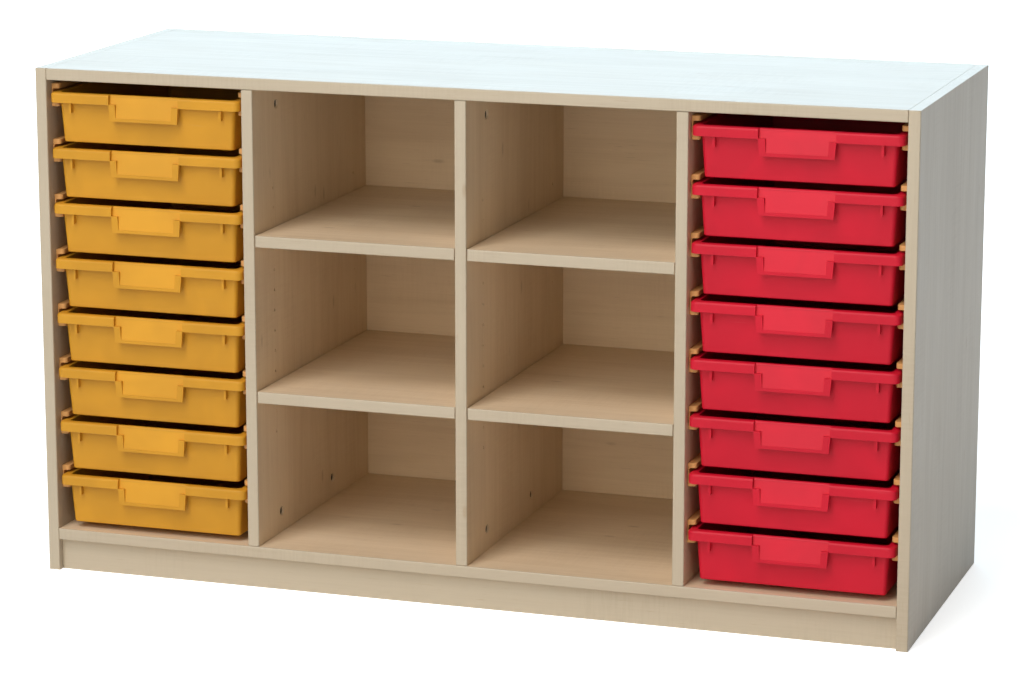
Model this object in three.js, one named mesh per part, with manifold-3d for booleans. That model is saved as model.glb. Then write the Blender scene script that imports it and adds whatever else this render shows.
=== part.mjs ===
// Classroom tray storage unit: a board carcass of four equal bays, with a column of pull-out
// trays at each end and open compartments with adjustable shelves in the two middle bays.
// Millimetres, +Z up, front towards -Y, origin on the floor under the middle of the unit.
import * as THREE from "three";
import { mergeVertices } from "three/addons/utils/BufferGeometryUtils.js";
import Module from "manifold-3d";

// Carcass
const WIDTH = 1380;
const DEPTH = 500;
const HEIGHT = 798;
const BOARD = 18;
const BAYS = 4;
const PLINTH_HEIGHT = 50;
const PLINTH_SETBACK = 12;
const BACK_SETBACK = 5;
const DIVIDER_SETBACK = 1;
const TOUCH_GAP = 0.3;

// Shelves and the pins that carry them
const SHELF_BAYS = [1, 2];
const SHELF_UNDERSIDES = [296, 539];
const SHELF_SETBACK = 2;
const SHELF_SIDE_GAP = 1;
const PIN_DIAMETER = 5;
const PIN_REACH = 8;
const PIN_SIDES = 8;
const PIN_ROWS_FROM_FRONT = [79, 420];

// Trays
const TRAYS_PER_COLUMN = 8;
const TRAY_WIDTH = 313.5;
const TRAY_DEPTH = 427;
const TRAY_HEIGHT = 77.7;
const TRAY_WALL = 2.2;
const TRAY_SETBACK = 0.5;
const TOP_RIM_HEIGHT = 761;
const TRAY_PITCH = 86.5;
const RIM_OVERHANG = 10.5;
const RIM_SKIRT = 15.6;
const RIM_ROUND = 4;
const RIM_EDGE = 1.2;
const SKIRT_WALL = 2;
const WALL_TAPER = 5;
const RIM_CORNER = 10;
const BODY_CORNER = 8;
const FLOOR_FILLET = 2;
const CORNER_STEPS = 3;

// Label holder that is the tray's pull, and the ribs under the front rim
const PULL_WIDTH = 115;
const PULL_HEIGHT = 40;
const PULL_TAPER = 1.8;
const PULL_BORDER = 10.5;
const PULL_LIP = 5;
const PULL_WALL = 2.2;
const LABEL_RECESS = 7;
const LABEL_RECESS_LOW = 0.8;
const RIB_FROM_CENTRE = 124.5;
const RIB_THICKNESS = 4;
const RIB_HEIGHT = 31;
const RIB_PROUD = 6.3;

// Runners, measured from the wall and from the rim's top
const RUNNER_SETBACK = 18.5;
const RUNNER_WEB = 2;
const RUNNER_REACH = 13;
const RUNNER_TOP = 11.5;
const RUNNER_CEILING = 3.7;
const RUNNER_FLANGE = 8.1;
const RUNNER_FILLET = 2.5;
const RUNNER_NOSE = 5;
const RUNNER_STOP = 3;
const RUNNER_STOP_GAP = 1;
const ARC_STEPS = 2;

// Looks
const MAPLE = { color: 0xd8c6a6, roughness: 0.55, metalness: 0 };
const YELLOW_PLASTIC = { color: 0xe0a030, roughness: 0.4, metalness: 0 };
const RED_PLASTIC = { color: 0xd22538, roughness: 0.4, metalness: 0 };
const RUNNER_PLASTIC = { color: 0xd99a52, roughness: 0.45, metalness: 0 };

// Places that follow from the sizes above
const FRONT = -DEPTH / 2;
const REAR = DEPTH / 2;
const INNER_HALF = WIDTH / 2 - BOARD;
const BAY_WIDTH = (WIDTH - (BAYS + 1) * BOARD) / BAYS;
const DECK_TOP = PLINTH_HEIGHT + BOARD;
const CEILING = HEIGHT - BOARD;
const BACK_FACE = REAR - BACK_SETBACK - BOARD;

const ALONG_X = new THREE.Vector3(1, 0, 0);
const ALONG_Y = new THREE.Vector3(0, 1, 0);
const ALONG_Z = new THREE.Vector3(0, 0, 1);

const wasm = await Module();
wasm.setup();

const unit = new THREE.Group();

// Solids and pieces

function toSolid(geometry) {
  const bare = geometry.clone();
  bare.deleteAttribute("normal");
  bare.deleteAttribute("uv");
  const merged = mergeVertices(bare);
  const vertProperties = merged.attributes.position.array;
  const triVerts = new Uint32Array(merged.index.array);
  return new wasm.Manifold(new wasm.Mesh({ numProp: 3, vertProperties, triVerts }));
}

function toGeometry(solid) {
  const { vertProperties, triVerts } = solid.getMesh();
  const geometry = new THREE.BufferGeometry();
  geometry.setAttribute("position", new THREE.BufferAttribute(vertProperties, 3));
  geometry.setIndex(new THREE.BufferAttribute(triVerts, 1));
  geometry.computeVertexNormals();
  return geometry;
}

// Each of x, y and z is a pair: low and high.
function boxGeometry(x, y, z) {
  const geometry = new THREE.BoxGeometry(x[1] - x[0], y[1] - y[0], z[1] - z[0]);
  return geometry.translate((x[0] + x[1]) / 2, (y[0] + y[1]) / 2, (z[0] + z[1]) / 2);
}

function boxSolid(x, y, z) {
  return toSolid(boxGeometry(x, y, z));
}

// A section drawn in Y and Z, swept along X.
function prismAlongX(section, [low, high]) {
  const shape = new THREE.Shape(section.map(([y, z]) => new THREE.Vector2(y, z)));
  const geometry = new THREE.ExtrudeGeometry(shape, { depth: high - low, bevelEnabled: false });
  geometry.applyMatrix4(new THREE.Matrix4().makeBasis(ALONG_Y, ALONG_Z, ALONG_X));
  return toSolid(geometry.translate(low, 0, 0));
}

// A shape drawn in X and Z, swept along Y.
function sweepAlongY(shape, [low, high]) {
  const sweep = { depth: high - low, bevelEnabled: false, curveSegments: ARC_STEPS };
  const geometry = new THREE.ExtrudeGeometry(shape, sweep);
  geometry.applyMatrix4(new THREE.Matrix4().makeBasis(ALONG_X, ALONG_Z, ALONG_Y.clone().negate()));
  return toSolid(geometry.translate(0, high, 0));
}

function addPiece(name, geometry, look) {
  const mesh = new THREE.Mesh(geometry, new THREE.MeshStandardMaterial(look));
  mesh.name = name;
  unit.add(mesh);
  return mesh;
}

// Carcass

function bayCentre(bay) {
  return -INNER_HALF + BAY_WIDTH / 2 + bay * (BAY_WIDTH + BOARD);
}

function addEndPanel(name, side) {
  const faces = [side * INNER_HALF, (side * WIDTH) / 2].sort((a, b) => a - b);
  addPiece(name, boxGeometry(faces, [FRONT, REAR], [0, HEIGHT]), MAPLE);
}

// The deck and the two plinth rails glued under it.
function baseSolid(x) {
  const railTop = PLINTH_HEIGHT + BOARD / 2;
  const frontRail = FRONT + PLINTH_SETBACK;
  const rearRail = REAR - PLINTH_SETBACK - BOARD;
  return boxSolid(x, [FRONT, REAR], [PLINTH_HEIGHT, DECK_TOP])
    .add(boxSolid(x, [frontRail, frontRail + BOARD], [0, railTop]))
    .add(boxSolid(x, [rearRail, rearRail + BOARD], [0, railTop]));
}

// A shelf pin pushed into a divider's face, on the side that faces a shelf.
function pinSolid(faceX, side, y, shelfUnderside) {
  const length = PIN_REACH + BOARD / 2;
  const z = shelfUnderside - TOUCH_GAP - PIN_DIAMETER / 2;
  const pin = new THREE.CylinderGeometry(PIN_DIAMETER / 2, PIN_DIAMETER / 2, length, PIN_SIDES);
  pin.rotateZ(Math.PI / 2);
  return toSolid(pin.translate(faceX + side * (PIN_REACH - length / 2), y, z));
}

function dividerSolid(bayOnLeft) {
  const left = bayCentre(bayOnLeft) + BAY_WIDTH / 2;
  const x = [left, left + BOARD];
  const y = [FRONT + DIVIDER_SETBACK, BACK_FACE - TOUCH_GAP];
  let divider = boxSolid(x, y, [DECK_TOP + TOUCH_GAP, CEILING - TOUCH_GAP]);
  const faces = [
    { bay: bayOnLeft, faceX: x[0], side: -1 },
    { bay: bayOnLeft + 1, faceX: x[1], side: 1 },
  ];
  for (const { faceX, side } of faces.filter(({ bay }) => SHELF_BAYS.includes(bay)))
    for (const row of PIN_ROWS_FROM_FRONT)
      for (const underside of SHELF_UNDERSIDES)
        divider = divider.add(pinSolid(faceX, side, FRONT + row, underside));
  return divider;
}

function addCarcass() {
  const between = [-INNER_HALF + TOUCH_GAP, INNER_HALF - TOUCH_GAP];
  const upright = [DECK_TOP + TOUCH_GAP, CEILING - TOUCH_GAP];
  addEndPanel("left_end_panel", -1);
  addEndPanel("right_end_panel", 1);
  addPiece("top_panel", boxGeometry(between, [FRONT, REAR], [CEILING, HEIGHT]), MAPLE);
  addPiece("base", toGeometry(baseSolid(between)), MAPLE);
  addPiece("back_panel", boxGeometry(between, [BACK_FACE, BACK_FACE + BOARD], upright), MAPLE);
  for (let bay = 0; bay < BAYS - 1; bay++)
    addPiece(`divider_${bay + 1}`, toGeometry(dividerSolid(bay)), MAPLE);
}

function addShelves() {
  const half = BAY_WIDTH / 2 - SHELF_SIDE_GAP;
  const y = [FRONT + SHELF_SETBACK, BACK_FACE - TOUCH_GAP];
  for (const [column, bay] of SHELF_BAYS.entries())
    for (const [level, underside] of SHELF_UNDERSIDES.entries()) {
      const x = [bayCentre(bay) - half, bayCentre(bay) + half];
      const place = `${column ? "right" : "left"}_${level ? "upper" : "lower"}`;
      addPiece(`shelf_${place}`, boxGeometry(x, y, [underside, underside + BOARD]), MAPLE);
    }
}

// Tray: X from its middle, Y back from the rim's front, Z from the rim's top.

// The rim's rounded top edge, from the flat top to the upright face: inset and height pairs.
function rimEdge() {
  const edge = [];
  for (let step = 0; step <= ARC_STEPS; step++) {
    const angle = (step / ARC_STEPS) * (Math.PI / 2);
    edge.push([RIM_ROUND * (1 - Math.sin(angle)), RIM_ROUND * (Math.cos(angle) - 1)]);
  }
  return edge;
}

// A rounded rectangle at one height, drawn in from the rim's outside.
function trayRing({ inset, corner, z }) {
  const halfWidth = TRAY_WIDTH / 2 - inset - corner;
  const halfDepth = TRAY_DEPTH / 2 - inset - corner;
  const ring = [];
  for (let quarter = 0; quarter < 4; quarter++)
    for (let step = 0; step <= CORNER_STEPS; step++) {
      const angle = ((quarter + step / CORNER_STEPS) * Math.PI) / 2;
      const right = quarter === 0 || quarter === 3 ? 1 : -1;
      const back = quarter < 2 ? 1 : -1;
      const x = right * halfWidth + corner * Math.cos(angle);
      const y = TRAY_DEPTH / 2 + back * halfDepth + corner * Math.sin(angle);
      ring.push([x, y, z]);
    }
  return ring;
}

// A closed skin over rings of equal count, from the first ring's cap to the last one's.
function loftSolid(rings) {
  const count = rings[0].length;
  const points = rings.flat();
  const faces = [];
  const capCentre = (ring) => points.push([0, TRAY_DEPTH / 2, ring[0][2]]) - 1;
  const firstCentre = capCentre(rings[0]);
  const lastCentre = capCentre(rings.at(-1));
  const lastStart = (rings.length - 1) * count;
  for (let i = 0; i < count; i++) {
    const next = (i + 1) % count;
    faces.push(firstCentre, i, next);
    faces.push(lastCentre, lastStart + next, lastStart + i);
    for (let start = 0; start < lastStart; start += count) {
      const below = start + count;
      faces.push(start + i, below + i, below + next);
      faces.push(start + i, below + next, start + next);
    }
  }
  const geometry = new THREE.BufferGeometry();
  geometry.setAttribute("position", new THREE.Float32BufferAttribute(points.flat(), 3));
  geometry.setIndex(faces);
  return toSolid(geometry);
}

// The bowl with its rolled rim: inside, over the rim, down the skirt and under to the outside.
function trayShell() {
  const inner = RIM_OVERHANG + TRAY_WALL;
  const floor = -TRAY_HEIGHT + TRAY_WALL;
  const innerCorner = BODY_CORNER - TRAY_WALL;
  const outerFoot = RIM_OVERHANG + WALL_TAPER;
  return loftSolid(
    [
      { inset: inner + WALL_TAPER + FLOOR_FILLET, corner: innerCorner, z: floor },
      { inset: inner + WALL_TAPER, corner: innerCorner, z: floor + FLOOR_FILLET },
      { inset: inner, corner: innerCorner, z: -RIM_EDGE },
      { inset: inner - RIM_EDGE, corner: BODY_CORNER, z: 0 },
      ...rimEdge().map(([inset, z]) => ({ inset, corner: RIM_CORNER - inset, z })),
      { inset: 0, corner: RIM_CORNER, z: -RIM_SKIRT },
      { inset: SKIRT_WALL, corner: RIM_CORNER - SKIRT_WALL, z: -RIM_SKIRT },
      { inset: SKIRT_WALL, corner: RIM_CORNER - SKIRT_WALL, z: -RIM_ROUND },
      { inset: RIM_ROUND, corner: RIM_CORNER - RIM_ROUND, z: -TRAY_WALL },
      { inset: RIM_OVERHANG, corner: BODY_CORNER, z: -TRAY_WALL },
      { inset: outerFoot, corner: BODY_CORNER, z: -TRAY_HEIGHT + FLOOR_FILLET },
      { inset: outerFoot + FLOOR_FILLET, corner: BODY_CORNER, z: -TRAY_HEIGHT },
    ].map(trayRing),
  );
}

// What the label holder covers as seen from the front: straight beside the rim, tapered below it.
function pullOutline() {
  const half = PULL_WIDTH / 2;
  const outline = new THREE.Shape();
  outline.moveTo(half, 0);
  outline.lineTo(-half, 0);
  outline.lineTo(-half, -RIM_SKIRT);
  outline.lineTo(-half + PULL_TAPER, -PULL_HEIGHT);
  outline.lineTo(half - PULL_TAPER, -PULL_HEIGHT);
  outline.lineTo(half, -RIM_SKIRT);
  outline.closePath();
  return outline;
}

// The label plate's rounded top edge, from its flat top to its face.
function plateEdge() {
  return rimEdge().map(([inset, z]) => [LABEL_RECESS + inset, z]);
}

// The sloped plate that takes a label, open at the top, with a border at the sides and below.
function pullSolid() {
  const half = PULL_WIDTH / 2;
  const lipTop = -PULL_HEIGHT + PULL_LIP;
  const borderTop = -RIM_SKIRT + SKIRT_WALL / 2;
  const plate = [
    ...plateEdge().slice(1),
    [LABEL_RECESS_LOW, lipTop],
    [0, lipTop],
    [0, -PULL_HEIGHT],
    [LABEL_RECESS_LOW + PULL_WALL, -PULL_HEIGHT],
    [LABEL_RECESS + PULL_WALL, -TRAY_WALL / 2],
  ];
  const border = [
    [0, -PULL_HEIGHT],
    [LABEL_RECESS_LOW + PULL_WALL, -PULL_HEIGHT],
    [LABEL_RECESS - PULL_WALL / 2, borderTop],
    [0, borderTop],
  ];
  return prismAlongX(plate, [-half, half])
    .add(prismAlongX(border, [-half, -half + PULL_BORDER]))
    .add(prismAlongX(border, [half - PULL_BORDER, half]))
    .intersect(sweepAlongY(pullOutline(), [0, RIM_OVERHANG]));
}

// Webs that close the hollow rim where the label holder interrupts it.
function skirtWebs() {
  const half = PULL_WIDTH / 2;
  const rear = RIM_OVERHANG + TRAY_WALL / 2;
  const web = [
    [SKIRT_WALL / 2, -RIM_SKIRT],
    [SKIRT_WALL / 2, -RIM_ROUND],
    [RIM_ROUND, -TRAY_WALL / 2],
    [rear, -TRAY_WALL / 2],
    [rear, -RIM_SKIRT],
  ];
  return prismAlongX(web, [-half - SKIRT_WALL, -half]).add(prismAlongX(web, [half, half + SKIRT_WALL]));
}

// What is cut out of the rim in front of the label plate.
function labelNotch() {
  const half = PULL_WIDTH / 2;
  const section = [
    [LABEL_RECESS + RIM_ROUND, RIM_EDGE],
    ...plateEdge(),
    [LABEL_RECESS, -2 * RIM_SKIRT],
    [-RIM_EDGE, -2 * RIM_SKIRT],
    [-RIM_EDGE, RIM_EDGE],
  ];
  return prismAlongX(section, [-half, half]);
}

// An upright plate on the front wall, from under the rim to a little below the skirt.
function ribSolid(side) {
  const middle = side * RIB_FROM_CENTRE;
  const plate = [
    [RIM_OVERHANG - RIB_PROUD, -TRAY_WALL / 2],
    [RIM_OVERHANG - RIB_PROUD, -RIB_HEIGHT],
    [RIM_OVERHANG + WALL_TAPER / 2, -RIB_HEIGHT],
    [RIM_OVERHANG + TRAY_WALL / 2, -TRAY_WALL / 2],
  ];
  return prismAlongX(plate, [middle - RIB_THICKNESS / 2, middle + RIB_THICKNESS / 2]);
}

function trayGeometry() {
  const tray = trayShell()
    .subtract(labelNotch())
    .add(pullSolid())
    .add(skirtWebs())
    .add(ribSolid(-1))
    .add(ribSolid(1));
  return toGeometry(tray);
}

// Runner: X out from the wall, Y back from its front end, Z from the top of the tray's rim.
function runnerGeometry() {
  const length = TRAY_SETBACK + TRAY_DEPTH + RUNNER_STOP_GAP + RUNNER_STOP - RUNNER_SETBACK;
  const floor = -RIM_SKIRT - TOUCH_GAP;
  const bottom = floor - RUNNER_FLANGE;
  const fillet = RUNNER_FILLET;
  const channel = new THREE.Shape();
  channel.moveTo(0, bottom);
  channel.lineTo(RUNNER_REACH, bottom);
  channel.lineTo(RUNNER_REACH, floor);
  channel.absarc(RUNNER_WEB + fillet, floor + fillet, fillet, -Math.PI / 2, -Math.PI, true);
  channel.absarc(RUNNER_WEB + fillet, RUNNER_CEILING - fillet, fillet, Math.PI, Math.PI / 2, true);
  channel.lineTo(RUNNER_REACH, RUNNER_CEILING);
  channel.lineTo(RUNNER_REACH, RUNNER_TOP);
  channel.lineTo(0, RUNNER_TOP);
  channel.closePath();

  const plan = new THREE.Shape();
  plan.moveTo(0, 0);
  plan.absarc(RUNNER_REACH - RUNNER_NOSE, RUNNER_NOSE, RUNNER_NOSE, -Math.PI / 2, 0, false);
  plan.lineTo(RUNNER_REACH, length);
  plan.lineTo(0, length);
  plan.closePath();
  const upright = { depth: RUNNER_TOP - bottom, bevelEnabled: false, curveSegments: ARC_STEPS };
  const outline = new THREE.ExtrudeGeometry(plan, upright);
  outline.translate(0, 0, bottom);

  const stop = boxSolid([0, RUNNER_REACH], [length - RUNNER_STOP, length], [bottom, RUNNER_TOP]);
  return toGeometry(sweepAlongY(channel, [0, length]).intersect(toSolid(outline)).add(stop));
}

function addTrayColumn(colour, bay, look, tray, runner) {
  const x = bayCentre(bay);
  for (let number = 1; number <= TRAYS_PER_COLUMN; number++) {
    const z = TOP_RIM_HEIGHT - (number - 1) * TRAY_PITCH;
    addPiece(`${colour}_tray_${number}`, tray, look).position.set(x, FRONT + TRAY_SETBACK, z);
    for (const [place, side] of [["left", -1], ["right", 1]]) {
      const rail = addPiece(`${colour}_runner_${number}_${place}`, runner, RUNNER_PLASTIC);
      const wall = x + side * (BAY_WIDTH / 2 - TOUCH_GAP);
      rail.position.set(wall, FRONT + RUNNER_SETBACK, z);
      rail.scale.x = -side;
    }
  }
}

function addTrays() {
  const tray = trayGeometry();
  const runner = runnerGeometry();
  addTrayColumn("yellow", 0, YELLOW_PLASTIC, tray, runner);
  addTrayColumn("red", BAYS - 1, RED_PLASTIC, tray, runner);
}

addCarcass();
addShelves();
addTrays();

export default unit;
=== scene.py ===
# Looks of a classroom tray storage unit: maple-faced boards, moulded trays and their runners.
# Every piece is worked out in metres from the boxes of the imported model's nodes.
import math

import bmesh
import bpy
from mathutils import Matrix, Vector


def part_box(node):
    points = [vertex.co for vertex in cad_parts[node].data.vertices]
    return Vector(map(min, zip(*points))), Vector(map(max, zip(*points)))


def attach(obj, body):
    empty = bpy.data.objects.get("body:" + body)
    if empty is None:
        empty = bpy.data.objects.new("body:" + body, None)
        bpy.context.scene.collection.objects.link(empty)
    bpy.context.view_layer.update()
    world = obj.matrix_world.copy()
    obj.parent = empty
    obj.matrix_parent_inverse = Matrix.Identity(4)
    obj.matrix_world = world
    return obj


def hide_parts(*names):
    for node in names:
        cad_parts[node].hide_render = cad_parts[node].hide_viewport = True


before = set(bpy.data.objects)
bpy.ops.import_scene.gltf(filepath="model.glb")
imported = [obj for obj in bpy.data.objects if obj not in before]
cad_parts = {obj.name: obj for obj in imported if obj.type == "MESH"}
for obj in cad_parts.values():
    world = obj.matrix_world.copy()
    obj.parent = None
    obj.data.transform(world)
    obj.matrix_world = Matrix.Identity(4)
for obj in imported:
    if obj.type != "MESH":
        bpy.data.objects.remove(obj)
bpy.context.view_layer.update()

MM = 0.001
CARCASS = "carcass"
COLUMNS = ("yellow", "red")
TRAYS_PER_COLUMN = 8
SIDES = ("left", "right")
SHELVES = [f"shelf_{side}_{level}" for side in SIDES for level in ("lower", "upper")]

# Rounds
ROUND_PROFILE = 0.5
ARRIS_STEPS = 2
ARRIS_TURN = 50
SMOOTH_TURN = 38

# Boards
EDGING = 2 * MM
EDGING_RADIUS = 1.8 * MM
BOARD_ARRIS = 0.25 * MM
BOARD_ARRIS_STEPS = 2
EDGING_STEPS = 4
SEAM = 0.08 * MM
PLINTH_SETBACK = 12 * MM

# Drilled holes and fittings in the dividers
PIN_ROWS_FROM_FRONT = (79 * MM, 420 * MM)
PIN_RADIUS = 2.5 * MM
PIN_HOLE_DEPTH = 9 * MM
PIN_HOLE_PITCH = 32 * MM
PIN_HOLES_PER_ROW = 13
LOWEST_PIN_HOLE = 235 * MM
PIN_REACH = 8 * MM
PIN_FLANGE_RADIUS = 3.5 * MM
PIN_FLANGE = 0.8 * MM
PIN_ARRIS = 0.5 * MM
PIN_STEPS = 20
PIN_HOLE_CLEARANCE = 7.5 * MM
CAM_STEPS = 28
SHELF_SIDE_GAP = 1 * MM
TOUCH_GAP = 0.3 * MM
CAM_RADIUS = 7.5 * MM
CAM_POCKET = 6 * MM
CAM_SUNK = 3 * MM
CAM_LIP = 0.5 * MM
CAM_SLOT = 0.8 * MM
CAM_SLOT_REACH = 4 * MM
CAM_SLOT_DEPTH = 1.5 * MM
CAM_RING = (0.72, 0.66)
CAM_DEPTHS_FROM_FRONT = (96 * MM, 314 * MM)
CAM_FROM_JOINT = 34 * MM

# Tray, from the rim's outside and top
TRAY_WALL = 2.2 * MM
RIM_OVERHANG = 10.5 * MM
RIM_SKIRT = 15.6 * MM
RIM_ROUND = 4 * MM
RIM_INNER_ROUND = 1.8 * MM
SKIRT_WALL = 2 * MM
WALL_TAPER = 5 * MM
RIM_CORNER = 10 * MM
BODY_CORNER = 8 * MM
CORNER_SHRINK = 0.4
FLOOR_ROUND = 2 * MM
CORNER_STEPS = 10
ROUND_STEPS = 4
SKIRT_EDGE_STEPS = 2

# Label holder and ribs
PULL_WIDTH = 115 * MM
PULL_HEIGHT = 40 * MM
PULL_TAPER = 1.8 * MM
PULL_BORDER = 10.5 * MM
PULL_LIP = 5 * MM
PULL_WALL = 2.2 * MM
LABEL_RECESS = 7 * MM
LABEL_RECESS_LOW = 0.8 * MM
PULL_ARRIS = 0.7 * MM
PLATE_FACING = 0.9
RIB_FROM_CENTRE = 124.5 * MM
RIB_THICKNESS = 4 * MM
RIB_HEIGHT = 31 * MM
RIB_PROUD = 6.3 * MM

# Runner, from the wall and from the rim's top
RUNNER_WEB = 2 * MM
RUNNER_CEILING = 3.7 * MM
RUNNER_FLANGE = 8.1 * MM
RUNNER_FILLET = 2.5 * MM
RUNNER_NOSE = 5 * MM
NOSE_STEPS = 8
RUNNER_STOP = 3 * MM
RUNNER_ARRIS = 0.6 * MM
SCREWS_FROM_RUNNER_END = 45 * MM
SCREW_RADIUS = 3.4 * MM
SCREW_DOME = 0.7 * MM
SCREW_STEPS = 16
SCREW_DROP = 0.2
# Shares of the radius and of the dome, from the axis out and back to it
SCREW_PROFILE = ((0, -1), (1, -1), (1, 0), (0.8, 0.6), (0.45, 1), (0.3, -0.4), (0, -0.6))

# Camera and stage
CAMERA_PLACE = Vector((1.6954, -5.0668, 1.5414))
CAMERA_TARGET = Vector((-0.0023, 0, 0.3691))
CAMERA_LENS = 122.95
SENSOR_WIDTH = 36
CAMERA_SEES_TO = 100
FLOOR_SIZE = 40
FLOOR_COLOUR = (0.9, 0.9, 0.9, 1)
GLOW_REACH = (0.6, 2.8)
GLOW_STRENGTH = (0.68, 0.95)
FILL_COLOUR = (0.82, 0.92, 1, 1)
FILL_STRENGTH = 0.03
LAMP_TARGET = Vector((0, 0, 0.4))

# Colours, as linear light
# Two copies of the one maple foil. The boards inside the unit, where shade falls, take a paler, warmer copy.
# The outside boards, which the lamps light strongly, take a darker, greyer copy. The difference between the
# two copies is painted light and shade.
INSIDE_SHADE_MAPLE_PALE = (0.798, 0.634, 0.441)
INSIDE_SHADE_MAPLE_DEEP = (0.638, 0.473, 0.298)
MAPLE_FLECK = (0.36, 0.235, 0.125)
OUTSIDE_LIT_MAPLE_PALE = (0.532, 0.454, 0.352)
OUTSIDE_LIT_MAPLE_DEEP = (0.41, 0.334, 0.245)
EDGING_PALE = (0.54, 0.46, 0.342)
EDGING_DEEP = (0.455, 0.376, 0.266)
TRAY_COLOURS = {"yellow": (0.66, 0.314, 0.02), "red": (0.63, 0.004, 0.026)}
# The label plate's colour is the tray colour lifted by this share: painted light, for the extra light that
# its upward-tilted face catches.
PLATE_PAINTED_LIGHT_LIFT = 1.1
RUNNER_COLOUR = (0.69, 0.36, 0.122)
# Near black for the zinc cams: painted shade, so that the cams read as dark as their shaded pockets.
SHADE_DARKENED_ZINC = (0.07, 0.062, 0.053)
STEEL = (0.55, 0.54, 0.52)


# Meshes

def new_object(name, mesh):
    obj = bpy.data.objects.new(name, mesh)
    bpy.context.scene.collection.objects.link(obj)
    return obj


def object_from(name, bm):
    bmesh.ops.recalc_face_normals(bm, faces=bm.faces)
    mesh = bpy.data.meshes.new(name)
    bm.to_mesh(mesh)
    bm.free()
    return new_object(name, mesh)


def settle(obj):
    """Makes the modifiers' result the object's own mesh."""
    depsgraph = bpy.context.evaluated_depsgraph_get()
    before = obj.data
    obj.data = bpy.data.meshes.new_from_object(obj.evaluated_get(depsgraph))
    obj.modifiers.clear()
    bpy.data.meshes.remove(before)


def combine(obj, tool, operation):
    modifier = obj.modifiers.new("combine", "BOOLEAN")
    modifier.operation = operation
    modifier.solver = "MANIFOLD"
    modifier.object = tool
    settle(obj)
    bpy.data.objects.remove(tool)
    materials = obj.data.materials
    while materials and materials[-1] is None:
        materials.pop()


def soften(obj, width):
    """Rounds the outward edges that turn sharply."""
    bm = bmesh.new()
    bm.from_mesh(obj.data)
    limit = math.radians(ARRIS_TURN)
    edges = [edge for edge in bm.edges if edge.is_convex and edge.calc_face_angle(0) > limit]
    bmesh.ops.bevel(bm, geom=edges, offset=width, segments=ARRIS_STEPS, profile=ROUND_PROFILE,
                    affect="EDGES", clamp_overlap=True)
    bm.to_mesh(obj.data)
    bm.free()


def smooth(obj):
    """Shades rounds smoothly, while the flat faces beside them keep their own direction."""
    mesh = obj.data
    mesh.polygons.foreach_set("use_smooth", [True] * len(mesh.polygons))
    mesh.set_sharp_from_angle(angle=math.radians(SMOOTH_TURN))
    modifier = obj.modifiers.new("flatten", "WEIGHTED_NORMAL")
    modifier.keep_sharp = True
    settle(obj)


def paint(mesh, *materials):
    for material in materials:
        mesh.materials.append(material)


def add_box(bm, low, high):
    low, high = Vector(low), Vector(high)
    made = bmesh.ops.create_cube(bm, size=1)["verts"]
    bmesh.ops.scale(bm, vec=high - low, verts=made)
    bmesh.ops.translate(bm, vec=(low + high) / 2, verts=made)
    return made


def edges_of(verts, keep):
    """The edges among these corners whose two ends both pass the test."""
    found = dict.fromkeys(edge for vert in verts for edge in vert.link_edges)
    return [edge for edge in found if all(keep(vert) for vert in edge.verts)]


def prism(name, section, place, depth):
    """A closed section swept by depth. place turns a section point into a 3-D point."""
    bm = bmesh.new()
    face = bm.faces.new([bm.verts.new(place(point)) for point in section])
    swept = bmesh.ops.extrude_face_region(bm, geom=[face])["geom"]
    moved = [part for part in swept if isinstance(part, bmesh.types.BMVert)]
    bmesh.ops.translate(bm, vec=depth, verts=moved)
    return object_from(name, bm)


def prism_along_x(name, section, low, high):
    return prism(name, section, lambda point: (low, *point), (high - low, 0, 0))


def arc(centre, radius, start, end, steps):
    """Points on an arc, from start to end in degrees, both ends included."""
    points = []
    for step in range(steps + 1):
        angle = math.radians(start + (end - start) * step / steps)
        points.append((centre[0] + radius * math.cos(angle), centre[1] + radius * math.sin(angle)))
    return points


def add_turned(bm, profile, at, axis, steps):
    """A turned shape: profile holds radius and height pairs from its axis out and back to it."""
    rings = []
    for radius, height in profile:
        turns = [2 * math.pi * step / steps for step in range(steps)] if radius else [0]
        rings.append([bm.verts.new((radius * math.cos(t), radius * math.sin(t), height)) for t in turns])
    for ring, above in zip(rings, rings[1:]):
        for step in range(steps):
            corners = [ring[step % len(ring)], ring[(step + 1) % len(ring)]]
            corners += [above[(step + 1) % len(above)], above[step % len(above)]]
            bm.faces.new(list(dict.fromkeys(corners)))
    made = [vert for ring in rings for vert in ring]
    turn = Vector((0, 0, 1)).rotation_difference(Vector(axis)).to_matrix().to_4x4()
    bmesh.ops.transform(bm, matrix=Matrix.Translation(at) @ turn, verts=made)


# Materials

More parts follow.
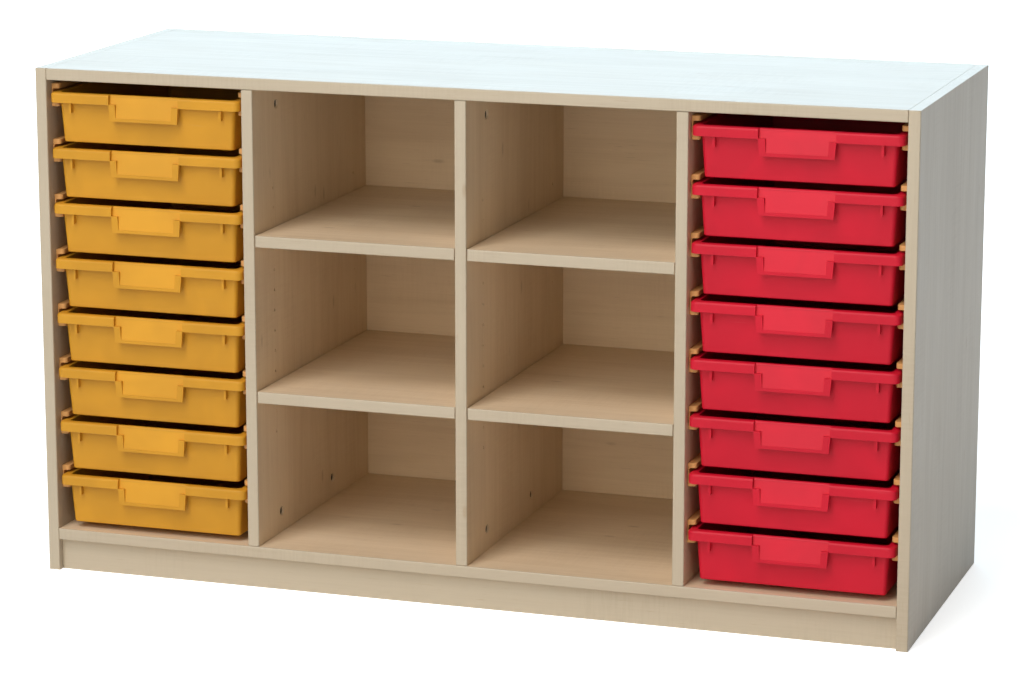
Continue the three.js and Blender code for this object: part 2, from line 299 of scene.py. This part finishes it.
class Graph:
    """A material's nodes, added and linked in short lines."""

    def __init__(self, name):
        self.material = bpy.data.materials.new(name)
        self.material.use_nodes = True
        self.tree = self.material.node_tree
        self.shader = self.tree.nodes["Principled BSDF"]

    @classmethod
    def of(cls, tree):
        graph = cls.__new__(cls)
        graph.tree = tree
        return graph

    def add(self, kind, settings=None, **inputs):
        node = self.tree.nodes.new(kind)
        for key, value in (settings or {}).items():
            setattr(node, key, value)
        for key, value in inputs.items():
            self.feed(node.inputs[key.replace("_", " ")], value)
        return node

    def feed(self, socket, value):
        if isinstance(value, bpy.types.NodeSocket):
            self.tree.links.new(value, socket)
        else:
            socket.default_value = value

    def set(self, **inputs):
        for key, value in inputs.items():
            self.feed(self.shader.inputs[key.replace("_", " ")], value)

    def maths(self, operation, first, second=0.0):
        node = self.tree.nodes.new("ShaderNodeMath")
        node.operation = operation
        self.feed(node.inputs[0], first)
        self.feed(node.inputs[1], second)
        return node.outputs[0]

    def mix(self, share, first, second):
        node = self.tree.nodes.new("ShaderNodeMix")
        node.data_type = "RGBA"
        self.feed(node.inputs["Factor"], share)
        for name, value in (("A", first), ("B", second)):
            socket = next(s for s in node.inputs if s.name == name and s.type == "RGBA")
            self.feed(socket, value if isinstance(value, bpy.types.NodeSocket) else (*value, 1))
        return next(s for s in node.outputs if s.type == "RGBA")

    def join(self, kind, first, second, share=None):
        """Adds two shaders, or mixes them by share."""
        node = self.tree.nodes.new(kind)
        shaders = [socket for socket in node.inputs if socket.type == "SHADER"]
        for socket, shader in zip(shaders, (first, second)):
            self.tree.links.new(shader.outputs[0], socket)
        if share is not None:
            self.feed(node.inputs["Fac"], share)
        return node

    def noise(self, vector, scale, detail=2.0, roughness=0.5, distortion=0.0):
        node = self.add("ShaderNodeTexNoise", Vector=vector, Scale=scale, Detail=detail,
                        Roughness=roughness, Distortion=distortion)
        return node.outputs["Fac"]

    def ramp(self, value, low, high, to_low=0.0, to_high=1.0):
        node = self.add("ShaderNodeMapRange", {"interpolation_type": "SMOOTHSTEP"}, Value=value,
                        From_Min=low, From_Max=high, To_Min=to_low, To_Max=to_high)
        return node.outputs["Result"]

    def bump(self, height, strength, distance):
        node = self.add("ShaderNodeBump", Strength=strength, Distance=distance, Height=height)
        return node.outputs["Normal"]

    def place(self):
        """Object coordinates, moved by the piece's own number, so that no two pieces look alike."""
        coordinates = self.add("ShaderNodeTexCoord").outputs["Object"]
        number = self.add("ShaderNodeObjectInfo").outputs["Random"]
        shift = self.add("ShaderNodeCombineXYZ", X=self.maths("MULTIPLY", number, 7.3),
                         Y=self.maths("MULTIPLY", number, 13.1), Z=self.maths("MULTIPLY", number, 5.7))
        node = self.tree.nodes.new("ShaderNodeVectorMath")
        node.operation = "ADD"
        self.feed(node.inputs[0], coordinates)
        self.feed(node.inputs[1], shift.outputs[0])
        return node.outputs[0]

    def stretched(self, place, along, amount):
        """The same place with lengths along one or two axes divided by amount."""
        scale = [1 / amount if axis in along else 1 for axis in "XYZ"]
        node = self.add("ShaderNodeMapping", Vector=place, Scale=scale)
        return node.outputs["Vector"]


def maple(name, grain, pale, deep, figure, curl):
    """Maple foil: soft figure, fibres and flecks along the grain, curl across it and a few knots."""
    graph = Graph(name)
    place = graph.place()
    across = "XYZ".replace(grain, "")
    broad = graph.noise(graph.stretched(place, grain, 9), scale=7.5, detail=3, roughness=0.55, distortion=0.6)
    cloud = graph.noise(graph.stretched(place, grain, 2.5), scale=5.0, detail=2, roughness=0.5)
    fibre = graph.noise(graph.stretched(place, grain, 70), scale=420, detail=3, roughness=0.6)
    pores = graph.noise(graph.stretched(place, grain, 22), scale=620, detail=2, roughness=0.5)
    flame = graph.noise(graph.stretched(place, grain, 14), scale=34, detail=2, roughness=0.5, distortion=1.2)
    ripple = graph.noise(graph.stretched(place, across, 14), scale=230, detail=2, roughness=0.6)
    patch = graph.noise(graph.stretched(place, grain, 2), scale=9, detail=1, roughness=0.5)
    knot = graph.add("ShaderNodeTexVoronoi", Vector=graph.stretched(place, grain, 3), Scale=20.0)

    tone = graph.maths("MULTIPLY", graph.ramp(broad, 0.30, 0.72), 0.50 * figure)
    tone = graph.maths("ADD", tone, graph.maths("MULTIPLY", graph.ramp(flame, 0.42, 0.66), 0.26 * figure))
    tone = graph.maths("ADD", tone, graph.maths("MULTIPLY", graph.ramp(cloud, 0.45, 0.75), 0.20 * figure))
    tone = graph.maths("ADD", tone, graph.maths("MULTIPLY", graph.ramp(fibre, 0.35, 0.7), 0.16))
    curly = graph.maths("MULTIPLY", graph.ramp(ripple, 0.42, 0.62), graph.ramp(patch, 0.46, 0.66, 0, curl))
    colour = graph.mix(graph.maths("ADD", tone, curly), pale, deep)
    fleck = graph.maths("MULTIPLY", graph.ramp(pores, 0.66, 0.76), 0.30)
    fleck = graph.maths("ADD", fleck, graph.ramp(knot.outputs["Distance"], 0.03, 0.10, 0.4, 0))
    colour = graph.mix(fleck, colour, MAPLE_FLECK)

    graph.set(Base_Color=colour, Roughness=graph.ramp(fibre, 0.3, 0.7, 0.41, 0.51), IOR=1.5)
    graph.set(Normal=graph.bump(fibre, 0.08, 0.15 * MM))
    return graph.material


def moulded(name, colour, roughness, gloss=0.32):
    """Moulded plastic: a fine spark-eroded texture, faint flow marks and a few scuffs."""
    graph = Graph(name)
    place = graph.place()
    flow = graph.noise(place, scale=9, detail=2, roughness=0.5, distortion=0.8)
    grain = graph.noise(place, scale=1900, detail=1, roughness=0.5)
    scuff = graph.noise(graph.stretched(place, "X", 30), scale=260, detail=2, roughness=0.5, distortion=0.3)
    worn = graph.maths("MULTIPLY", graph.ramp(scuff, 0.70, 0.78), graph.ramp(flow, 0.48, 0.62))

    darker = tuple(channel * 0.90 for channel in colour)
    chalky = tuple(channel * 0.8 + 0.12 for channel in colour)
    tint = graph.mix(graph.ramp(flow, 0.35, 0.68), darker, colour)
    tint = graph.mix(graph.maths("MULTIPLY", worn, 0.22), tint, chalky)
    rough = graph.ramp(grain, 0.3, 0.7, roughness - 0.05, roughness + 0.05)
    rough = graph.maths("ADD", rough, graph.maths("MULTIPLY", worn, 0.2))
    graph.set(Base_Color=tint, Roughness=rough, IOR=1.49, Specular_IOR_Level=gloss)
    graph.set(Normal=graph.bump(grain, 0.05, 0.06 * MM))
    return graph.material


def metal(name, colour, roughness):
    """Plated metal: brushed cloudiness in its colour and its polish."""
    graph = Graph(name)
    place = graph.place()
    cloud = graph.noise(place, scale=300, detail=3, roughness=0.6)
    grit = graph.noise(place, scale=2600, detail=2, roughness=0.6)
    darker = tuple(channel * 0.62 for channel in colour)
    graph.set(Base_Color=graph.mix(cloud, darker, colour), Metallic=1.0)
    graph.set(Roughness=graph.ramp(grit, 0.3, 0.7, roughness - 0.08, roughness + 0.1))
    graph.set(Normal=graph.bump(grit, 0.06, 0.05 * MM))
    return graph.material


def maples(name, pale, deep, figure, curl):
    """The same foil with its grain along each board's length."""
    return {grain: maple(f"{name}_along_{grain.lower()}", grain, pale, deep, figure, curl) for grain in "XZ"}


# Lit and shaded copies of one foil: the inside boards get the paler, warmer copy and the outside boards the
# darker, greyer one, as painted light and shade.
INSIDE_SHADE_MAPLE = maples("maple", INSIDE_SHADE_MAPLE_PALE, INSIDE_SHADE_MAPLE_DEEP, 0.8, 0.12)
OUTSIDE_LIT_MAPLE = maples("outside_lit_maple", OUTSIDE_LIT_MAPLE_PALE, OUTSIDE_LIT_MAPLE_DEEP, 0.6, 0.15)
EDGE = maples("edging", EDGING_PALE, EDGING_DEEP, 0.45, 0.22)
TRAY = {colour: moulded(f"tray_{colour}", TRAY_COLOURS[colour], 0.50) for colour in COLUMNS}
# Lighter copies of the tray colours for the label plates: painted light, because the plate is the same
# moulding as the tray.
PLATE_COLOURS_WITH_PAINTED_LIGHT = {colour: [channel * PLATE_PAINTED_LIGHT_LIFT for channel in TRAY_COLOURS[colour]] for colour in COLUMNS}
LABEL_PLATE_PAINTED_LIGHT = {colour: moulded(f"painted_light_label_plate_{colour}", PLATE_COLOURS_WITH_PAINTED_LIGHT[colour], 0.45, 0.34)
               for colour in COLUMNS}
RUNNER = moulded("runner_amber", RUNNER_COLOUR, 0.46)
# The cams' metal is darkened to near black: painted shade standing for the shade in their pockets.
SHADE_DARKENED_CAM_METAL = metal("shade_darkened_zinc_cam", SHADE_DARKENED_ZINC, 0.45)
PIN_METAL = metal("plated_steel", STEEL, 0.32)


# Boards

def board(name, low, high, faces, grain, edged=("front",)):
    """A faced board with edging strips glued on where it is seen, its origin at its middle."""
    middle = (low + high) / 2
    low, high = low - middle, high - middle
    core_low, core_high = low.copy(), high.copy()
    strips = []
    if "front" in edged:
        core_low.y += EDGING
        strips.append((low.y, Vector((low.x, low.y, low.z)), Vector((high.x, core_low.y - SEAM, high.z))))
    if "rear" in edged:
        core_high.y -= EDGING
        strips.append((high.y, Vector((low.x, core_high.y + SEAM, low.z)), Vector((high.x, high.y, high.z))))

    bm = bmesh.new()
    core = add_box(bm, core_low, core_high)
    bmesh.ops.bevel(bm, geom=edges_of(core, lambda vert: True), offset=BOARD_ARRIS,
                    segments=BOARD_ARRIS_STEPS, profile=ROUND_PROFILE, affect="EDGES")
    core_faces = set(bm.faces)
    for outer, strip_low, strip_high in strips:
        strip = add_box(bm, strip_low, strip_high)
        outside = edges_of(strip, lambda vert: abs(vert.co.y - outer) < SEAM / 2)
        bmesh.ops.bevel(bm, geom=outside, offset=EDGING_RADIUS, segments=EDGING_STEPS,
                        profile=ROUND_PROFILE, affect="EDGES")
    for face in bm.faces:
        face.material_index = 0 if face in core_faces else 1
    obj = object_from(name, bm)
    obj.location = middle
    paint(obj.data, faces[grain], EDGE[grain])
    smooth(obj)
    return obj


def on_carcass(obj, node=None):
    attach(obj, CARCASS)
    if node:
        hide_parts(node)


def node_board(node, faces, grain, edged=("front",)):
    low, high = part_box(node)
    on_carcass(board(f"{node}_faced", low, high, faces, grain, edged), node)


end_low, end_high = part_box("left_end_panel")
THICKNESS = end_high.x - end_low.x
FRONT = end_low.y
base_low, base_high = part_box("base")
DECK_TOP = base_high.z
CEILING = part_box("top_panel")[0].z


def add_base():
    """The deck, and the two plinth rails that stand under it."""
    deck_under = DECK_TOP - THICKNESS
    deck_low = Vector((base_low.x, base_low.y, deck_under))
    deck = board("deck_faced", deck_low, base_high, INSIDE_SHADE_MAPLE, "X", ("front", "rear"))
    on_carcass(deck, "base")
    under = deck_under - SEAM
    front = base_low.y + PLINTH_SETBACK
    rear = base_high.y - PLINTH_SETBACK - THICKNESS
    for name, y in (("plinth_front", front), ("plinth_rear", rear)):
        low = Vector((base_low.x, y, base_low.z))
        high = Vector((base_high.x, y + THICKNESS, under))
        on_carcass(board(name, low, high, EDGE, "X", ()))


def pin_height(shelf):
    """The middle of the pins under a shelf."""
    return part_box(shelf)[0].z - TOUCH_GAP - PIN_RADIUS


def hole_heights():
    """Pin holes in an upright row, but for those beside a shelf's pin."""
    row = [LOWEST_PIN_HOLE + PIN_HOLE_PITCH * step for step in range(PIN_HOLES_PER_ROW)]
    taken = [pin_height(shelf) for shelf in SHELVES]
    return [z for z in row if all(abs(z - pin) > PIN_HOLE_CLEARANCE for pin in taken)]


def cam_places():
    heights = (DECK_TOP + CAM_FROM_JOINT, CEILING - CAM_FROM_JOINT)
    return [(FRONT + depth, height) for depth in CAM_DEPTHS_FROM_FRONT for height in heights]


def drill(obj, x, side, holes, radius, depth):
    """Blind round holes in the face at x, which looks towards side, bored depth deep."""
    bm = bmesh.new()
    for y, z in holes:
        profile = [(0, 0), (radius, 0), (radius, 2 * depth), (0, 2 * depth)]
        add_turned(bm, profile, Vector((x + side * depth, y, z)), (-side, 0, 0), PIN_STEPS)
    combine(obj, object_from("drill", bm), "DIFFERENCE")


def add_cams(name, x):
    """Cam fittings let into a divider's right face, each with a cross slot."""
    bm = bmesh.new()
    face = x - CAM_SUNK
    foot = CAM_SUNK - CAM_POCKET + SEAM
    edge = CAM_RADIUS - SEAM
    profile = [(0, foot), (edge, foot), (edge, -CAM_LIP), (edge - CAM_LIP, 0), (CAM_RADIUS * CAM_RING[0], 0)]
    profile += [(CAM_RADIUS * CAM_RING[1], -CAM_LIP), (0, -CAM_LIP)]
    for y, z in cam_places():
        add_turned(bm, profile, Vector((face, y, z)), (1, 0, 0), CAM_STEPS)
    cams = object_from(name, bm)
    for length, height in ((CAM_SLOT_REACH, CAM_SLOT), (CAM_SLOT, CAM_SLOT_REACH)):
        slots = bmesh.new()
        for y, z in cam_places():
            low = (face - CAM_SLOT_DEPTH, y - length, z - height)
            add_box(slots, low, (face + CAM_LIP, y + length, z + height))
        combine(cams, object_from("slots", slots), "DIFFERENCE")
    paint(cams.data, SHADE_DARKENED_CAM_METAL)
    smooth(cams)
    on_carcass(cams)


def add_dividers():
    """The three dividers with their pin holes; each CAD divider's box also holds its pins."""
    rows = [(FRONT + row, z) for row in PIN_ROWS_FROM_FRONT for z in hole_heights()]
    for number, faces in ((1, (1,)), (2, (-1, 1)), (3, (-1,))):
        low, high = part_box(f"divider_{number}")
        spare = high.x - low.x - THICKNESS
        left = low.x + (spare / len(faces) if -1 in faces else 0)
        low.x, high.x = left, left + THICKNESS
        divider = board(f"divider_{number}_faced", low, high, INSIDE_SHADE_MAPLE, "Z")
        for side in faces:
            drill(divider, high.x if side > 0 else low.x, side, rows, PIN_RADIUS, PIN_HOLE_DEPTH)
        drill(divider, high.x, 1, cam_places(), CAM_RADIUS, CAM_POCKET)
        smooth(divider)
        on_carcass(divider, f"divider_{number}")
        add_cams(f"divider_{number}_cams", high.x)


def add_shelf_pins(shelf):
    """The four flanged pins that a shelf rests on."""
    low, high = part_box(shelf)
    bm = bmesh.new()
    profile = [(0, SEAM), (PIN_FLANGE_RADIUS, SEAM), (PIN_FLANGE_RADIUS, PIN_FLANGE)]
    profile += [(PIN_RADIUS, PIN_FLANGE), (PIN_RADIUS, PIN_REACH - PIN_ARRIS)]
    profile += [(PIN_RADIUS - PIN_ARRIS, PIN_REACH), (0, PIN_REACH)]
    for side, x in ((1, low.x - SHELF_SIDE_GAP), (-1, high.x + SHELF_SIDE_GAP)):
        for row in PIN_ROWS_FROM_FRONT:
            at = Vector((x, FRONT + row, pin_height(shelf)))
            add_turned(bm, profile, at, (side, 0, 0), PIN_STEPS)
    pins = object_from(f"{shelf}_pins", bm)
    paint(pins.data, PIN_METAL)
    smooth(pins)
    on_carcass(pins)


def add_carcass():
    # The ends and the top take the outside copy of the foil and the other boards the inside copy: painted
    # light and shade, as all the boards are one foil.
    for node in ("left_end_panel", "right_end_panel"):
        node_board(node, OUTSIDE_LIT_MAPLE, "Z", ("front", "rear"))
    node_board("top_panel", OUTSIDE_LIT_MAPLE, "X", ("front", "rear"))
    node_board("back_panel", INSIDE_SHADE_MAPLE, "X", ())
    add_base()
    add_dividers()
    for shelf in SHELVES:
        node_board(shelf, INSIDE_SHADE_MAPLE, "X")
        add_shelf_pins(shelf)


# Trays: X from the middle, Y back from the rim's front, Z from the rim's top

tray_low, tray_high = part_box("yellow_tray_1")
TRAY_WIDTH = tray_high.x - tray_low.x
TRAY_DEPTH = tray_high.y - tray_low.y
TRAY_HEIGHT = tray_high.z - tray_low.z


def corner_radius(inset):
    """Plan corners are fuller at the rim than on the body below it."""
    share = min(inset / RIM_OVERHANG, 1.0)
    spare = max(inset - RIM_OVERHANG, 0)
    return RIM_CORNER + (BODY_CORNER - RIM_CORNER) * share - CORNER_SHRINK * spare


def tray_ring(bm, inset, z):
    corner = corner_radius(inset)
    across = TRAY_WIDTH / 2 - inset - corner
    deep = TRAY_DEPTH / 2 - inset - corner
    ring = []
    for quarter, (right, back) in enumerate(((1, 1), (-1, 1), (-1, -1), (1, -1))):
        centre = (right * across, TRAY_DEPTH / 2 + back * deep)
        for x, y in arc(centre, corner, 90 * quarter, 90 * (quarter + 1), CORNER_STEPS):
            ring.append(bm.verts.new((x, y, z)))
    return ring


def tray_section():
    """Inset and height pairs, from the inner floor over the rim to the underside."""
    wall = RIM_OVERHANG + TRAY_WALL
    floor = -TRAY_HEIGHT + TRAY_WALL
    foot = RIM_OVERHANG + WALL_TAPER
    edge = SKIRT_WALL / 4
    section = arc((wall + WALL_TAPER + FLOOR_ROUND, floor + FLOOR_ROUND), FLOOR_ROUND, 270, 180, ROUND_STEPS)
    section += arc((wall - RIM_INNER_ROUND, -RIM_INNER_ROUND), RIM_INNER_ROUND, 0, 90, ROUND_STEPS)
    section += arc((RIM_ROUND, -RIM_ROUND), RIM_ROUND, 90, 180, ROUND_STEPS)
    section += arc((edge, edge - RIM_SKIRT), edge, 180, 270, SKIRT_EDGE_STEPS)
    section += arc((SKIRT_WALL - edge, edge - RIM_SKIRT), edge, 270, 360, SKIRT_EDGE_STEPS)
    section += [(SKIRT_WALL, -RIM_ROUND), (RIM_ROUND, -TRAY_WALL), (RIM_OVERHANG, -TRAY_WALL)]
    section += arc((foot + FLOOR_ROUND, FLOOR_ROUND - TRAY_HEIGHT), FLOOR_ROUND, 180, 270, ROUND_STEPS)
    return section


def tray_shell():
    bm = bmesh.new()
    rings = [tray_ring(bm, inset, z) for inset, z in tray_section()]
    for ring, below in zip(rings, rings[1:]):
        for step in range(len(ring)):
            after = (step + 1) % len(ring)
            bm.faces.new((ring[step], below[step], below[after], ring[after]))
    bm.faces.new(rings[0])
    bm.faces.new(reversed(rings[-1]))
    return object_from("tray", bm)


def plate_edge():
    """The label plate's rounded top edge, from its flat top to its face."""
    return arc((LABEL_RECESS + RIM_ROUND, -RIM_ROUND), RIM_ROUND, 90, 180, ROUND_STEPS)


def label_holder():
    """The sloped plate that takes a label, with its border and lip, drawn in towards its foot."""
    half = PULL_WIDTH / 2
    lip_top = PULL_LIP - PULL_HEIGHT
    border_top = SKIRT_WALL / 2 - RIM_SKIRT
    plate = plate_edge()[ROUND_STEPS // 2:]
    plate += [(LABEL_RECESS_LOW, lip_top), (0, lip_top), (0, -PULL_HEIGHT)]
    plate += [(LABEL_RECESS_LOW + PULL_WALL, -PULL_HEIGHT), (LABEL_RECESS + PULL_WALL, -TRAY_WALL / 2)]
    border = [(0, -PULL_HEIGHT), (LABEL_RECESS_LOW + PULL_WALL, -PULL_HEIGHT)]
    border += [(LABEL_RECESS - PULL_WALL / 2, border_top), (0, border_top)]
    holder = prism_along_x("label_holder", plate, -half, half)
    combine(holder, prism_along_x("border", border, -half, PULL_BORDER - half), "UNION")
    combine(holder, prism_along_x("border", border, half - PULL_BORDER, half), "UNION")
    draw_in(holder)
    soften(holder, PULL_ARRIS)
    return holder


def draw_in(holder):
    """Narrows the label holder from the skirt's lower edge to its foot."""
    bm = bmesh.new()
    bm.from_mesh(holder.data)
    every_part = bm.verts[:] + bm.edges[:] + bm.faces[:]
    bmesh.ops.bisect_plane(bm, geom=every_part, plane_co=(0, 0, -RIM_SKIRT), plane_no=(0, 0, 1))
    for vert in bm.verts:
        below = max(-vert.co.z - RIM_SKIRT, 0) / (PULL_HEIGHT - RIM_SKIRT)
        vert.co.x *= 1 - below * PULL_TAPER / (PULL_WIDTH / 2)
    bm.to_mesh(holder.data)
    bm.free()


def rib(middle):
    """An upright plate on the front wall, from under the rim to a little below the skirt."""
    proud = RIM_OVERHANG - RIB_PROUD
    plate = [(proud, -TRAY_WALL / 2), (proud, -RIB_HEIGHT)]
    plate += [(RIM_OVERHANG + WALL_TAPER / 2, -RIB_HEIGHT), (RIM_OVERHANG + TRAY_WALL / 2, -TRAY_WALL / 2)]
    return prism_along_x("rib", plate, middle - RIB_THICKNESS / 2, middle + RIB_THICKNESS / 2)


def skirt_web(low, high):
    """Closes the hollow rim where the label holder interrupts it."""
    rear = RIM_OVERHANG + TRAY_WALL / 2
    web = [(SKIRT_WALL / 2, -RIM_SKIRT), (SKIRT_WALL / 2, -RIM_ROUND), (RIM_ROUND, -TRAY_WALL / 2)]
    web += [(rear, -TRAY_WALL / 2), (rear, -RIM_SKIRT)]
    return prism_along_x("web", web, low, high)


def label_notch(half):
    """What is cut out of the rim in front of the label plate."""
    section = [(LABEL_RECESS + RIM_ROUND, RIM_ROUND)] + plate_edge()
    section += [(LABEL_RECESS, -2 * RIM_SKIRT), (-RIM_ROUND, -2 * RIM_SKIRT), (-RIM_ROUND, RIM_ROUND)]
    return prism_along_x("notch", section, -half, half)


def on_label_plate(polygon):
    """Whether a face belongs to the smooth plate inside the label holder's border and lip, which takes the
    lighter copy of the tray colour as painted light.
    """
    x, y, z = polygon.center
    inside = abs(x) < PULL_WIDTH / 2 - PULL_BORDER and PULL_LIP - PULL_HEIGHT < z
    return inside and LABEL_RECESS_LOW < y < LABEL_RECESS and polygon.normal.y < -PLATE_FACING


def tray_mesh():
    half = PULL_WIDTH / 2
    tray = tray_shell()
    combine(tray, label_notch(half), "DIFFERENCE")
    additions = [label_holder(), skirt_web(-half - SKIRT_WALL, -half), skirt_web(half, half + SKIRT_WALL)]
    additions += [rib(-RIB_FROM_CENTRE), rib(RIB_FROM_CENTRE)]
    for addition in additions:
        combine(tray, addition, "UNION")
    smooth(tray)
    mesh = tray.data
    bpy.data.objects.remove(tray)
    for polygon in mesh.polygons:
        # Faces on the label plate take the lighter copy of the tray colour: painted light.
        polygon.material_index = 1 if on_label_plate(polygon) else 0
    return mesh


# Runners: X out from the wall, Y back from the front end, Z from the rim's top

runner_low, runner_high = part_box("yellow_runner_1_left")
RUNNER_REACH = runner_high.x - runner_low.x
RUNNER_LENGTH = runner_high.y - runner_low.y
RUNNER_TOP = runner_high.z - tray_high.z
RUNNER_BOTTOM = runner_low.z - tray_high.z


def runner_mesh(outward):
    """A runner that reaches out from its wall to the right, or to the left where outward is negative."""
    floor = RUNNER_BOTTOM + RUNNER_FLANGE
    inner = RUNNER_WEB + RUNNER_FILLET
    section = [(0, RUNNER_BOTTOM), (RUNNER_REACH, RUNNER_BOTTOM), (RUNNER_REACH, floor)]
    section += arc((inner, floor + RUNNER_FILLET), RUNNER_FILLET, 270, 180, ROUND_STEPS)
    section += arc((inner, RUNNER_CEILING - RUNNER_FILLET), RUNNER_FILLET, 180, 90, ROUND_STEPS)
    section += [(RUNNER_REACH, RUNNER_CEILING), (RUNNER_REACH, RUNNER_TOP), (0, RUNNER_TOP)]
    rail = prism("runner", section, lambda point: (point[0], 0, point[1]), (0, RUNNER_LENGTH, 0))
    plan = [(0, 0)] + arc((RUNNER_REACH - RUNNER_NOSE, RUNNER_NOSE), RUNNER_NOSE, 270, 360, NOSE_STEPS)
    plan += [(RUNNER_REACH, RUNNER_LENGTH), (0, RUNNER_LENGTH)]
    height = RUNNER_TOP - RUNNER_BOTTOM
    outline = prism("outline", plan, lambda point: (*point, RUNNER_BOTTOM), (0, 0, height))
    combine(rail, outline, "INTERSECT")
    bm = bmesh.new()
    add_box(bm, (0, RUNNER_LENGTH - RUNNER_STOP, RUNNER_BOTTOM), (RUNNER_REACH, RUNNER_LENGTH, RUNNER_TOP))
    combine(rail, object_from("stop", bm), "UNION")
    soften(rail, RUNNER_ARRIS)
    if outward < 0:
        rail.data.transform(Matrix.Diagonal((-1, 1, 1, 1)))
        rail.data.flip_normals()
    paint(rail.data, RUNNER)
    smooth(rail)
    mesh = rail.data
    bpy.data.objects.remove(rail)
    return mesh


def add_screw_head(bm, x, side, y, z):
    """A screw's domed head with the recess for the driver, on a runner's web."""
    profile = [(radius * SCREW_RADIUS, height * SCREW_DOME) for radius, height in SCREW_PROFILE]
    add_turned(bm, profile, Vector((x, y, z)), (side, 0, 0), SCREW_STEPS)


def add_column(colour, tray, runners):
    screws = bmesh.new()
    painted = tray.copy()
    paint(painted, TRAY[colour], LABEL_PLATE_PAINTED_LIGHT[colour])
    for number in range(1, TRAYS_PER_COLUMN + 1):
        node = f"{colour}_tray_{number}"
        low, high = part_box(node)
        piece = new_object(f"{node}_moulding", painted)
        piece.location = ((low.x + high.x) / 2, low.y, high.z)
        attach(piece, node)
        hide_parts(node)
        for side, outward in zip(SIDES, (1, -1)):
            rail_node = f"{colour}_runner_{number}_{side}"
            rail_low, rail_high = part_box(rail_node)
            wall = rail_low.x if outward > 0 else rail_high.x
            rail = new_object(f"{rail_node}_moulding", runners[outward])
            rail.location = (wall, rail_low.y, high.z)
            on_carcass(rail, rail_node)
            web = wall + outward * RUNNER_WEB
            level = high.z + RUNNER_BOTTOM * SCREW_DROP
            for y in (rail_low.y + SCREWS_FROM_RUNNER_END, rail_high.y - SCREWS_FROM_RUNNER_END):
                add_screw_head(screws, web, outward, y, level)
    heads = object_from(f"{colour}_runner_screws", screws)
    paint(heads.data, PIN_METAL)
    smooth(heads)
    on_carcass(heads)


def add_trays():
    tray = tray_mesh()
    runners = {outward: runner_mesh(outward) for outward in (1, -1)}
    for colour in COLUMNS:
        add_column(colour, tray, runners)


# Stage, light and camera

def add_floor():
    """A pale floor that the camera sees as white, but for the shadow around the unit, which a glow painted
    weaker near the unit makes darker: painted shade.
    """
    bm = bmesh.new()
    bmesh.ops.create_grid(bm, x_segments=1, y_segments=1, size=FLOOR_SIZE / 2)
    floor = object_from("floor", bm)
    graph = Graph("pale_floor")
    graph.set(Base_Color=FLOOR_COLOUR, Roughness=0.9)
    place = graph.add("ShaderNodeTexCoord").outputs["Object"]
    away = graph.add("ShaderNodeVectorMath", {"operation": "LENGTH"}, Vector=place).outputs["Value"]
    # The glow fades towards the unit, so the floor near it is painted darker: painted shade around the unit.
    strength = graph.ramp(away, *GLOW_REACH, *GLOW_STRENGTH)
    glow = graph.add("ShaderNodeEmission", Color=(1, 1, 1, 1), Strength=strength)
    lit = graph.join("ShaderNodeAddShader", graph.shader, glow)
    seen = graph.join("ShaderNodeMixShader", graph.shader, lit, direct_sight(graph))
    graph.tree.links.new(seen.outputs[0], graph.tree.nodes["Material Output"].inputs["Surface"])
    paint(floor.data, graph.material)


def add_world():
    """White for the camera and in reflections, and a dim cool fill for everything else."""
    world = bpy.data.worlds.new("studio")
    bpy.context.scene.world = world
    world.use_nodes = True
    graph = Graph.of(world.node_tree)
    fill = world.node_tree.nodes["Background"]
    fill.inputs["Color"].default_value = FILL_COLOUR
    fill.inputs["Strength"].default_value = FILL_STRENGTH
    white = graph.add("ShaderNodeBackground", Color=(1, 1, 1, 1))
    seen = graph.join("ShaderNodeMixShader", fill, white, direct_sight(graph))
    graph.tree.links.new(seen.outputs[0], graph.tree.nodes["World Output"].inputs["Surface"])


def direct_sight(graph):
    """1 for what the camera sees, directly, in a gloss or through glass."""
    path = graph.add("ShaderNodeLightPath").outputs
    mirrored_sight = graph.maths("MAXIMUM", path["Is Glossy Ray"], path["Is Transmission Ray"])
    return graph.maths("MAXIMUM", path["Is Camera Ray"], mirrored_sight)


def add_lamp(name, azimuth, elevation, distance, size, power, colour):
    """A square soft lamp aimed at the unit. Azimuth 0 is straight in front, and grows to the right."""
    turn, climb = math.radians(azimuth), math.radians(elevation)
    level = distance * math.cos(climb)
    away = Vector((level * math.sin(turn), -level * math.cos(turn), distance * math.sin(climb)))
    data = bpy.data.lights.new(name, "AREA")
    data.shape = "SQUARE"
    data.size = size
    data.energy = power
    data.color = colour
    lamp = new_object(name, data)
    lamp.location = LAMP_TARGET + away
    lamp.rotation_euler = away.to_track_quat("Z", "Y").to_euler()
    lamp.visible_camera = False


def add_lights():
    # Azimuth, elevation, distance, size, power and colour
    add_lamp("key", -15, 30, 9, 4, 238, (0.99, 1, 0.98))
    add_lamp("front_fill", 4, 9, 9, 4, 122, (1, 0.89, 0.7))
    add_lamp("overhead", -14, 57, 9, 4, 412, (1, 0.95, 0.93))
    add_lamp("backdrop", 195, 20, 10, 8, 740, (0.58, 0.84, 1))
    add_lamp("right_fill", 46, 20, 9, 4, 26, (0.72, 0.9, 1))


def add_camera():
    data = bpy.data.cameras.new("camera")
    data.sensor_fit = "HORIZONTAL"
    data.sensor_width = SENSOR_WIDTH
    data.lens = CAMERA_LENS
    camera = new_object("camera", data)
    camera.location = CAMERA_PLACE
    camera.rotation_euler = (CAMERA_TARGET - CAMERA_PLACE).to_track_quat("-Z", "Y").to_euler()
    data.clip_end = CAMERA_SEES_TO
    bpy.context.scene.camera = camera


bpy.context.scene.view_settings.view_transform = "Standard"
add_camera()
add_carcass()
add_trays()
add_floor()
add_world()
add_lights()
